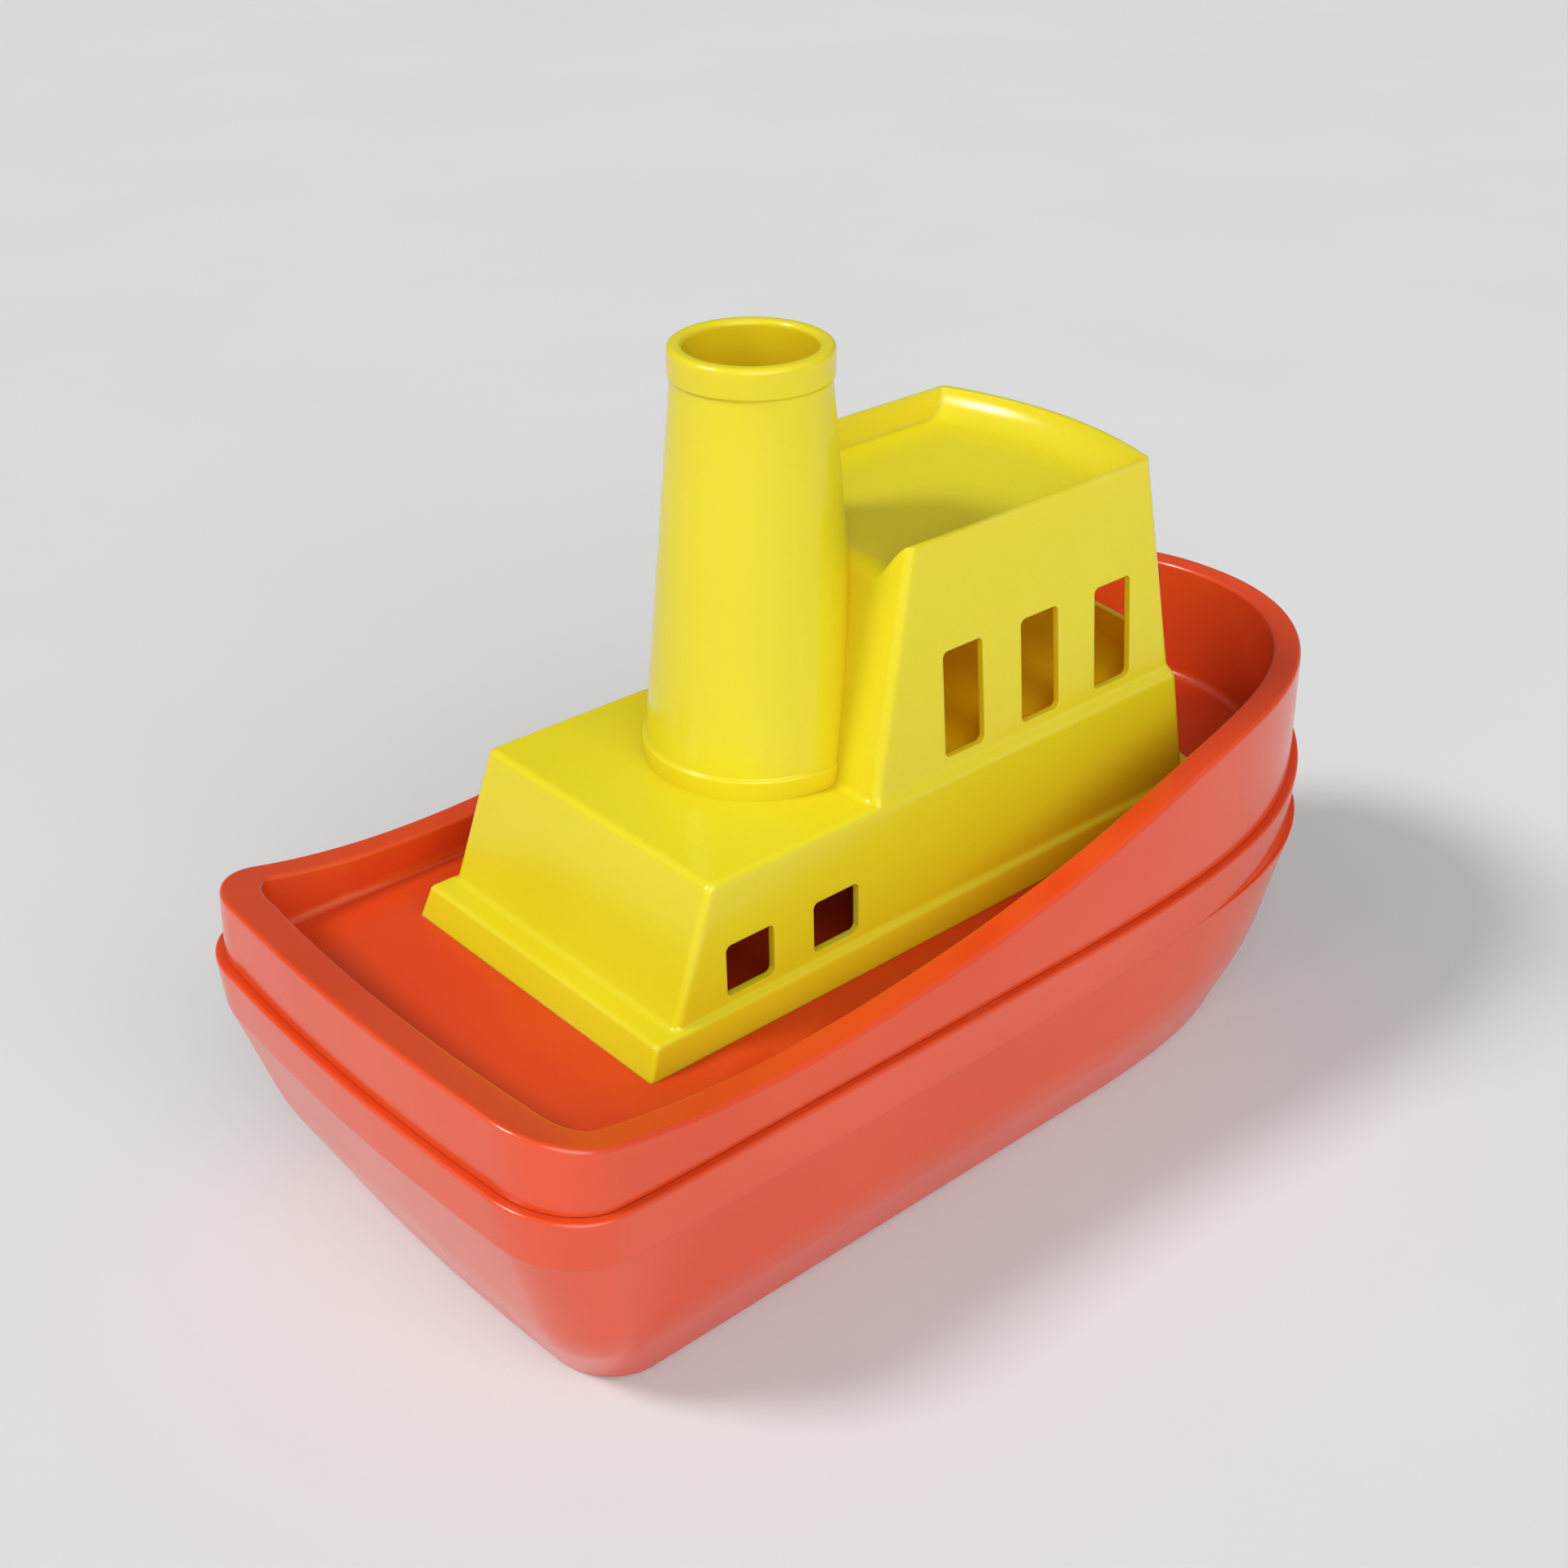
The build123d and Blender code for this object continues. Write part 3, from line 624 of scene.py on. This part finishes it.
# ------------------------------------------------------------- deck moulding
def build_deck():
    deck_edge = at(WELL, DECK, 0.8)
    under_edge = at(WELL, DECK - DECK_T, -WALL_DECK)
    under_rim = shifted(rim, -WALL_DECK)
    # from the middle of the deck up the well, over the rim, down the outside and back under
    profile = [
        (shrunk(deck_edge, 90.0), 0),
        (deck_edge, 2.2),
        (at(WELL, rim), 0.9),
        (at(RIM, rim), 1.1),
        (at(FOOT, joint), 0.25),
        (at(FOOT, joint, WALL_DECK), 0.15),
        (at(RIM, under_rim, WALL_DECK), 0.6),
        (at(WELL, under_rim, -WALL_DECK), 0.6),
        (under_edge, 0.6),
        (shrunk(under_edge, 90.0), 0),
    ]
    deck = skin("deck_and_bulwark_moulding", split_long(rounded(profile), 7.0)[::-1])
    bosses = (columns(SCREWS, POST_Z + 0.02, DECK - 1.2, 4.2)
              + columns(PEGS, DECK - PEG_L - 4.0, DECK - 1.2, 5.0))
    boolean(deck, "UNION", cylinders("bosses", bosses))
    sockets = (columns(SCREWS, POST_Z - 1.0, POST_Z + 14.0, SHANK_R + 0.02)
               + columns(PEGS, DECK - PEG_L - 1.0, DECK + 1.0, PEG_R + GAP))
    boolean(deck, "DIFFERENCE", cylinders("sockets", sockets))
    finish_shading(deck)
    install(deck, RED, rides="hull", replaces="deck_moulding")


# --------------------------------------------------------------- cabin block
# Described as a distance field so that the moulding's fillets and the soft step
# in its sides come out as one skin, then meshed.
# Heights are above the deck. A block is two plan sections, low and high:
# height, aft, half width, front.
FLANGE = ((0.0, 0.0, 40.0, 168.9), (6.92, 2.54, 38.87, 166.6))
HOUSE = ((6.42, 7.9, 37.66, 161.0), (35.6, 18.29, 36.72, 155.6))
HOUSE_IN = ((-1.0, 5.6, 37.65, 162.3), (34.0, 17.7, 36.77, 155.9))
CABIN = ((29.6, 61.07, 36.35, 155.1), (86.9, 75.13, 31.25, 146.8))
HOUSE_TOP, CABIN_TOP = HOUSE[1][0], CABIN[1][0]
FRONT_BULGE = 6.0
WALL_CABIN = 1.6
TRAY_FLOOR, TRAY_DEPTH = 80.9, 6.0
# Side windows: stations of each, then bottom and top.
WINDOWS_UP, WINDOWS_UP_Z = ((82.8, 94.25), (105.75, 117.2), (128.7, 140.25)), (39.15, 62.6)
WINDOWS_LOW, WINDOWS_LOW_Z = ((21.5, 33.85), (44.45, 56.8)), (9.15, 20.75)
# Corners of the box that is meshed.
FIELD_LOW, FIELD_HIGH = (-2.3, -42.1, -10.6), (177.0, 42.6, 89.5)


def cut(a, b, r):
    """Intersection of two solids with its edge rounded to radius r."""
    return (np.minimum(-r, np.maximum(a, b))
            + np.hypot(np.maximum(r + a, 0), np.maximum(r + b, 0)))


def join(a, b, r):
    """Union of two solids with its crease filled to radius r."""
    return (np.maximum(r, np.minimum(a, b))
            - np.hypot(np.maximum(r - a, 0), np.maximum(r - b, 0)))


def carve(body, *holes):
    for hole in holes:
        body = np.maximum(body, -hole)
    return body


def ease(start, end, value):
    """Smooth step from 0 at start to 1 at end."""
    t = np.clip((value - start) / (end - start), 0, 1)
    return t * t * (3 - 2 * t)


def between(a, b, t):
    return a + (b - a) * t


def past_front(x, y, half, front):
    """How far x lies ahead of a front that bulges forward on the centreline."""
    return x - front - FRONT_BULGE * (1 - (y / half) ** 2)


def sides_at(block, z):
    """Aft station, half width and front station of a block at height z, each with its slope."""
    low, high = block
    rise = high[0] - low[0]
    t = (z - low[0]) / rise
    return [(between(low[k], high[k], t), (high[k] - low[k]) / rise) for k in (1, 2, 3)]


def walls(x, y, sides, r, inset=0.0):
    """Block with its upright edges rounded to r, from sides as sides_at gives them."""
    (aft, aft_slope), (half, side_slope), (front, front_slope) = sides
    curve_slope = 2 * FRONT_BULGE * y / half ** 2
    a = (aft - x) / math.hypot(1, aft_slope) + inset
    b = (np.abs(y) - half) / np.sqrt(1 + side_slope * side_slope) + inset
    c = past_front(x, y, half, front) / np.sqrt(1 + front_slope * front_slope + curve_slope ** 2)
    return cut(cut(b, a, r), c + inset, r)


def rounded_box(u, v, u_range, v_range, r):
    """Rounded rectangle in a plane."""
    (u0, u1), (v0, v1) = u_range, v_range
    du = np.abs(u - (u0 + u1) / 2) - (u1 - u0) / 2 + r
    dv = np.abs(v - (v0 + v1) / 2) - (v1 - v0) / 2 + r
    return np.minimum(np.maximum(du, dv), 0) + np.hypot(np.maximum(du, 0), np.maximum(dv, 0)) - r


def column(x, y, z, place, z0, z1, radius, edge=0.0):
    """Upright cylinder, its rims rounded to edge."""
    side = np.hypot(x - place[0], y - place[1]) - radius
    ends = np.abs(z - (z0 + z1) / 2) - (z1 - z0) / 2
    return cut(side, ends, edge) if edge else np.maximum(side, ends)


def house_and_cabin(x, y, z):
    """Deckhouse and wheelhouse, whose shared sides and front step softly from one
    to the other."""
    house_aft, (house_half, _), (house_front, _) = sides_at(HOUSE, z)
    cabin_aft, (cabin_half, _), (cabin_front, _) = sides_at(CABIN, z)
    step = ease(33.4, 37.6, z)
    half = between(house_half, cabin_half, step)
    front = between(house_front, cabin_front, step)
    cabin = walls(x, y, (cabin_aft, (half, -0.07), (front, -0.16)), r=1.7)
    cabin = np.maximum(cabin, z - CABIN_TOP)
    # aft of the wheelhouse the deckhouse keeps its own sides
    ahead = ease(58.0, 66.0, x)
    house_sides = (house_aft, (between(house_half, half, ahead), -0.03),
                   (between(house_front, front, ahead), -0.18))
    house = cut(walls(x, y, house_sides, r=1.7), z - HOUSE_TOP, 1.3)
    # the fillet fades out forward and towards the sides
    fillet = 1.4 * (1 - ease(63.0, 70.0, x)) * (1 - ease(33.0, 35.4, np.abs(y))) + 1e-3
    return join(house, np.maximum(cabin, 20.0 - z), fillet)


def shape_roof(body, x, y, z):
    """Sinks a shallow tray in the roof, open aft, its floor rolling over into the aft
    wall; its front is one broad cove, its sides meet the floor in a small fillet."""
    # the tray widens and lengthens upwards; the divisors make true distances
    t = (z - TRAY_FLOOR) / 7.0
    half, front = 28.4 + 2.0 * t, 143.8 + 2.1 * t
    side = (np.abs(y) - half) / 1.04
    ahead = (past_front(x, y, half, front)
             / np.sqrt(1.09 + (2 * FRONT_BULGE * y / half ** 2) ** 2))
    floor = TRAY_FLOOR - z
    tray = np.maximum(cut(cut(side, floor, 0.9), cut(ahead, floor, 6.0), 0.5), side)
    rise = TRAY_FLOOR + TRAY_DEPTH * ease(23.0, 30.6, np.abs(y))
    tray = tray + (0.75 * (rise - z) - tray) * (1 - ease(76.5, 90.0, x))
    body = carve(body, tray)
    (cabin_aft, _), _, _ = sides_at(CABIN, z)
    roll = cut((cabin_aft - x) / 1.03, z - rise - 14.0 * ease(77.0, 86.0, x),
               3.2 - 2.7 * ease(22.0, 29.0, np.abs(y)))
    return np.maximum(body, np.where((x < 86.0) & (z > 74.0), roll, -9.0))


def hollow_inside(x, y, z):
    house = cut(walls(x, y, sides_at(HOUSE_IN, z), r=1.0, inset=WALL_CABIN),
                z - HOUSE_IN[1][0], 0.8)
    cabin = cut(walls(x, y, sides_at(CABIN, z), r=1.0, inset=WALL_CABIN), z - 79.3, 1.0)
    return np.minimum(house, cut(cabin, HOUSE_TOP - z, 0.8))


def window_holes(x, y, z):
    holes = [rounded_box(x, z, window, WINDOWS_UP_Z, 1.4) for window in WINDOWS_UP]
    holes += [rounded_box(x, z, window, WINDOWS_LOW_Z, 1.4) for window in WINDOWS_LOW]
    # the front window is kept off the aft wall
    screen = rounded_box(y, z, (-26.5, 26.5), (42.0, 62.6), 2.0)
    return holes + [np.maximum(screen, 120.0 - x)]


def funnel_hole(x, y, z):
    """Hole that grips the funnel: a little tighter than its ring and cone."""
    grip = 0.5
    r = np.hypot(x - FUNNEL_X, y)
    cone_r = CONE_R0 + (CONE_R1 - CONE_R0) * (z - RING_Z) / (CONE_Z1 - RING_Z)
    cone = (r - cone_r) / 1.0042  # across the sloping wall
    return np.minimum(np.maximum(cone + grip, RING_Z - 1.0 - z),
                      np.maximum(r - RING_R + grip, z - RING_Z + 0.5))


def cabin_field(points):
    """Signed distance to the cabin block, negative inside."""
    x, y, z = points[..., 0], points[..., 1], points[..., 2]
    flange = cut(walls(x, y, sides_at(FLANGE, z), r=1.0), z - FLANGE[1][0], 0.8)
    body = join(flange, house_and_cabin(x, y, z), 1.0)
    body = shape_roof(body, x, y, z)
    body = carve(body, hollow_inside(x, y, z), *window_holes(x, y, z))
    for boss in BOSSES:
        body = np.minimum(body, column(x, y, z, boss, FOOT_Z1 + 0.02, 34.8, 3.3))
    body = carve(body, funnel_hole(x, y, z))
    for boss in BOSSES:
        body = carve(body, column(x, y, z, boss, FOOT_Z1 - 1, 34.2, 1.27))
    body = carve(body, z)
    for place in PEGS:
        post = column(x, y, z, place, 0.0, 9.0, 4.5, edge=0.5)
        peg = column(x, y, z, place, -PEG_L, 1.0, PEG_R, edge=0.8)
        body = np.minimum(body, np.minimum(post, peg))
    return body


def hollow_mark(points):
    """1 on the walls of the hollow inside, fading to 0 just beyond them."""
    x, y, z = points.T
    (aft, _), (half, _), (front, _) = sides_at(CABIN, z)
    half = half - 0.7
    cabin = np.maximum.reduce([np.abs(y) - half, aft + 1.3 - x, z - 79.7, 20.0 - z,
                               past_front(x, y, half, front) + 0.8])
    (aft, _), _, _ = sides_at(HOUSE, z)
    house = np.maximum.reduce([np.abs(y) - 35.6, aft + 1.0 - x, x - 150.0, z - 34.4])
    return np.clip(0.2 - 2.0 * np.minimum(cabin, house), 0, 1)


# --------------------------------------------------------- meshing the field
def gradient(field, points, reach=0.03):
    """Unit normals of the field."""
    slopes = np.empty_like(points)
    for i in range(3):
        d = np.zeros(3)
        d[i] = reach
        slopes[:, i] = (field(points + d) - field(points - d)) / (2 * reach)
    return slopes / np.maximum(np.linalg.norm(slopes, axis=1), 1e-9)[:, None]


def sample(field, axes):
    """Field values on a grid, worked out in slabs to save memory."""
    values = np.empty([len(a) for a in axes], np.float32)
    grid_y, grid_z = np.meshgrid(axes[1], axes[2], indexing="ij")
    for start in range(0, len(axes[0]), 12):
        slab = axes[0][start:start + 12]
        points = np.empty((len(slab), *grid_y.shape, 3))
        points[..., 0] = slab[:, None, None]
        points[..., 1] = grid_y
        points[..., 2] = grid_z
        values[start:start + 12] = field(points)
    return values


def surface_cells(inside):
    """Cells the surface passes through, and a grid of their numbers, -1 elsewhere."""
    n = [k - 1 for k in inside.shape]
    count = np.zeros(n, np.int8)
    for i, j, k in itertools.product((0, 1), repeat=3):
        count += inside[i:i + n[0], j:j + n[1], k:k + n[2]]
    active = (count > 0) & (count < 8)
    cells = np.argwhere(active)
    index = np.full(n, -1, np.int64)
    index[active] = np.arange(len(cells))
    return cells, index


def crossings(field, values, low, cell, axis, u, v):
    """Grid edges along an axis that cross the surface: the grid indices of their
    starts, whether these are inside, and the crossing points."""
    ahead = [slice(None)] * 3
    behind = [slice(None)] * 3
    behind[axis], ahead[axis] = slice(0, -1), slice(1, None)
    inside = values < 0
    start_in = inside[tuple(behind)]
    edges = np.argwhere(start_in != inside[tuple(ahead)])
    edges = edges[(edges[:, u] > 0) & (edges[:, v] > 0)
                  & (edges[:, u] < inside.shape[u] - 1) & (edges[:, v] < inside.shape[v] - 1)]
    start_in = start_in[tuple(edges.T)]
    origin = low + edges * cell
    step = np.zeros(3)
    step[axis] = cell
    near, far = np.zeros(len(edges)), np.ones(len(edges))
    for _ in range(9):
        middle = (near + far) / 2
        same = (field(origin + step * middle[:, None]) < 0) == start_in
        near, far = np.where(same, middle, near), np.where(same, far, middle)
    return edges, start_in, origin + step * ((near + far) / 2)[:, None]


def contour(field, low, high, cell):
    """Closed quad mesh of the zero level of a field, with a point in each cell placed
    where the tangent planes of its crossings meet, so that edges stay crisp."""
    low = np.array(low, float)
    values = sample(field, [np.arange(low[i], high[i] + cell, cell) for i in range(3)])
    cells, index = surface_cells(values < 0)
    m = len(cells)
    # sums per cell for the least squares fit of its point to the tangent planes
    total, count = np.zeros((m, 3)), np.zeros(m)
    normal_products, rhs = np.zeros((m, 3, 3)), np.zeros((m, 3))
    faces = []
    for axis, u, v in ((0, 1, 2), (1, 2, 0), (2, 0, 1)):
        edges, start_in, points = crossings(field, values, low, cell, axis, u, v)
        normals = gradient(field, points)
        offset = (normals * points).sum(1)
        corners = []
        for back_u, back_v in ((1, 1), (0, 1), (0, 0), (1, 0)):
            neighbour = edges.copy()
            neighbour[:, u] -= back_u
            neighbour[:, v] -= back_v
            number = index[tuple(neighbour.T)]
            corners.append(number)
            count += np.bincount(number, minlength=m)
            for i in range(3):
                total[:, i] += np.bincount(number, points[:, i], m)
                rhs[:, i] += np.bincount(number, normals[:, i] * offset, m)
                for j in range(3):
                    normal_products[:, i, j] += np.bincount(
                        number, normals[:, i] * normals[:, j], m)
        quads = np.stack(corners, 1)
        quads[~start_in] = quads[~start_in][:, ::-1]
        faces.append(quads)
    faces = np.concatenate(faces)

    # solve about the mean crossing, leaving out directions the planes barely fix
    centre = total / np.maximum(count, 1)[:, None]
    rhs = rhs - np.einsum("nij,nj->ni", normal_products, centre)
    w, vectors = np.linalg.eigh(normal_products)
    inverse = np.where(w > 0.08 * w[:, -1:], 1.0 / np.maximum(w, 1e-9), 0.0)
    shift = np.einsum("nij,nj->ni", vectors, inverse * np.einsum("nji,nj->ni", vectors, rhs))
    cell_low = low + cells * cell
    verts = np.clip(centre + shift, cell_low - 0.05 * cell, cell_low + 1.05 * cell)

    used = np.unique(faces)
    renumber = np.full(m, -1, np.int64)
    renumber[used] = np.arange(len(used))
    verts, faces = verts[used], renumber[faces]
    # corner normals are read a little inside each face, off its edges
    middle = verts[faces].mean(1)
    normals = np.empty((len(faces), 4, 3))
    for k in range(4):
        normals[:, k] = gradient(field, verts[faces[:, k]] * 0.72 + middle * 0.28)
    return verts, faces, normals


def build_cabin_block():
    cell = 0.75
    verts, faces, normals = contour(cabin_field, FIELD_LOW, FIELD_HIGH, cell)
    hollow = hollow_mark(verts)
    verts[:, 2] += DECK
    verts[:, 0] -= ORIGIN_X
    me = bpy.data.meshes.new("cabin_block_moulding")
    me.vertices.add(len(verts))
    me.vertices.foreach_set("co", (verts * 0.001).ravel())
    me.loops.add(faces.size)
    me.loops.foreach_set("vertex_index", faces.ravel().astype(np.int32))
    me.polygons.add(len(faces))
    me.polygons.foreach_set("loop_start", np.arange(0, faces.size, 4, dtype=np.int32))
    me.update(calc_edges=True)
    me.shade_smooth()
    me.normals_split_custom_set(normals.reshape(-1, 3).tolist())
    attribute = me.attributes.new("hollow", "FLOAT", "POINT")
    attribute.data.foreach_set("value", hollow.astype(np.float32))
    block = add_object("cabin_block_moulding", me)
    install(block, YELLOW, rides="cabin_top", replaces="superstructure")


# -------------------------------------------------------------------- funnel
def build_funnel():
    ring_bore = RING_R - WALL_FUNNEL
    # radius, height above the deck, rounding: up the outside, down the bore
    profile = [
        (FOOT_R, FOOT_Z0, 0.3), (FOOT_R, FOOT_Z1, 0.3),
        (RING_R, FOOT_Z1, 0.5), (RING_R, RING_Z, 0.55),
        (CONE_R0, RING_Z, 0.40), (CONE_R1, CONE_Z1, 0.80),
        (COLLAR_R, CONE_Z1 + 0.15, 0.45), (COLLAR_R, FUNNEL_TOP, 1.15),
        (BORE_R - 0.6, FUNNEL_TOP, 1.15), (CONE_R1 - WALL_FUNNEL, CONE_Z1 - 3.0, 1.2),
        (ring_bore, RING_Z - 3.0, 1.0), (ring_bore, FOOT_Z0, 0.3),
    ]
    profile = [(radius, DECK + z, distance) for radius, z, distance in profile]
    funnel = lathe("funnel_moulding", profile, FUNNEL_X)
    holes = columns(BOSSES, DECK + FOOT_Z0 - 1, DECK + FOOT_Z1 + 1, SHANK_R)
    boolean(funnel, "DIFFERENCE", cylinders("screw_holes", holes, segments=32))
    finish_shading(funnel)
    install(funnel, YELLOW, rides="cabin_top", replaces="funnel")


# --------------------------------------------------------------------- stage
def build_floor():
    bm = bmesh.new()
    bmesh.ops.create_grid(bm, x_segments=8, y_segments=8, size=6.0)
    me = bpy.data.meshes.new("floor")
    bm.to_mesh(me)
    bm.free()
    floor = add_object("floor", me)
    floor.location = (0, 0, -0.00002)
    me.materials.append(floor_paper("floor_paper"))


def build_world():
    """Soft room light: strongest from aft on the -y side, weakest from the opposite side."""
    world = bpy.data.worlds.new("studio")
    bpy.context.scene.world = world
    world.use_nodes = True
    tree = world.node_tree
    direction = new_node(tree, "TexCoord").outputs["Generated"]
    brightest = Vector((-0.50, -0.83, 0.25)).normalized()
    facing = new_node(tree, "VectorMath", {0: direction, 1: brightest}, operation="DOT_PRODUCT")
    strength = new_node(tree, "MapRange", {
        "From Min": -0.75, "From Max": 0.85, "To Min": 0.19, "To Max": 0.38,
        "Value": facing.outputs["Value"]}, interpolation_type="SMOOTHSTEP")
    set_inputs(tree, tree.nodes["Background"],
               {"Color": (1.0, 1.0, 1.0), "Strength": strength.outputs["Result"]})


def sun_light(name, towards, energy, angle, colour):
    """Sun that stands in the direction towards, with its angular size in radians."""
    data = bpy.data.lights.new(name, "SUN")
    data.energy = energy
    data.angle = angle
    data.color = colour
    sun = add_object(name, data)
    sun.rotation_euler = (-Vector(towards)).to_track_quat("-Z", "Y").to_euler()


def build_camera():
    """Camera aft on the -y side, looking forward and down at the boat; metres, radians."""
    yaw, pitch, roll = 0.845990733, 0.521580918, -0.00177
    place = (-0.28859, -0.30648, 0.31563)
    data = bpy.data.cameras.new("camera")
    data.lens = 49.94
    data.sensor_width = 36.0
    data.clip_start = 0.02
    data.clip_end = 50.0
    camera = add_object("camera", data)
    forward = Vector((math.cos(yaw) * math.cos(pitch), math.sin(yaw) * math.cos(pitch),
                      -math.sin(pitch)))
    level = Vector((math.sin(yaw), -math.cos(yaw), 0.0))
    upright = level.cross(forward)
    right = level * math.cos(roll) + upright * math.sin(roll)
    up = upright * math.cos(roll) - level * math.sin(roll)
    rows = [(right[i], up[i], -forward[i], place[i]) for i in range(3)]
    camera.matrix_world = Matrix((*rows, (0, 0, 0, 1)))
    bpy.context.scene.camera = camera


build_hull()
build_deck()
build_cabin_block()
build_funnel()
# CAD pieces kept, with their materials
for node, material, slot_name in (("hull_seal", SEAL, "seal_rubber"),
                                  ("screw_plugs", PLUG, "plug_rubber"),
                                  ("hull_screws", STEEL, "screw_steel"),
                                  ("funnel_screws", STEEL, "screw_steel")):
    dress(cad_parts[node], material)
build_floor()
build_world()
sun_light("key_light", towards=(-0.85, 0.42, 1.0), energy=1.62, angle=0.25,
          colour=(1.0, 0.995, 0.985))
sun_light("fill_light", towards=(-0.35, -0.79, 0.52), energy=1.85, angle=1.05,
          colour=(0.99, 0.995, 1.0))
build_camera()
scene = bpy.context.scene
scene.view_settings.view_transform = "Standard"
scene.view_settings.look = "None"
scene.cycles.diffuse_bounces = 8

bpy.context.view_layer.update()
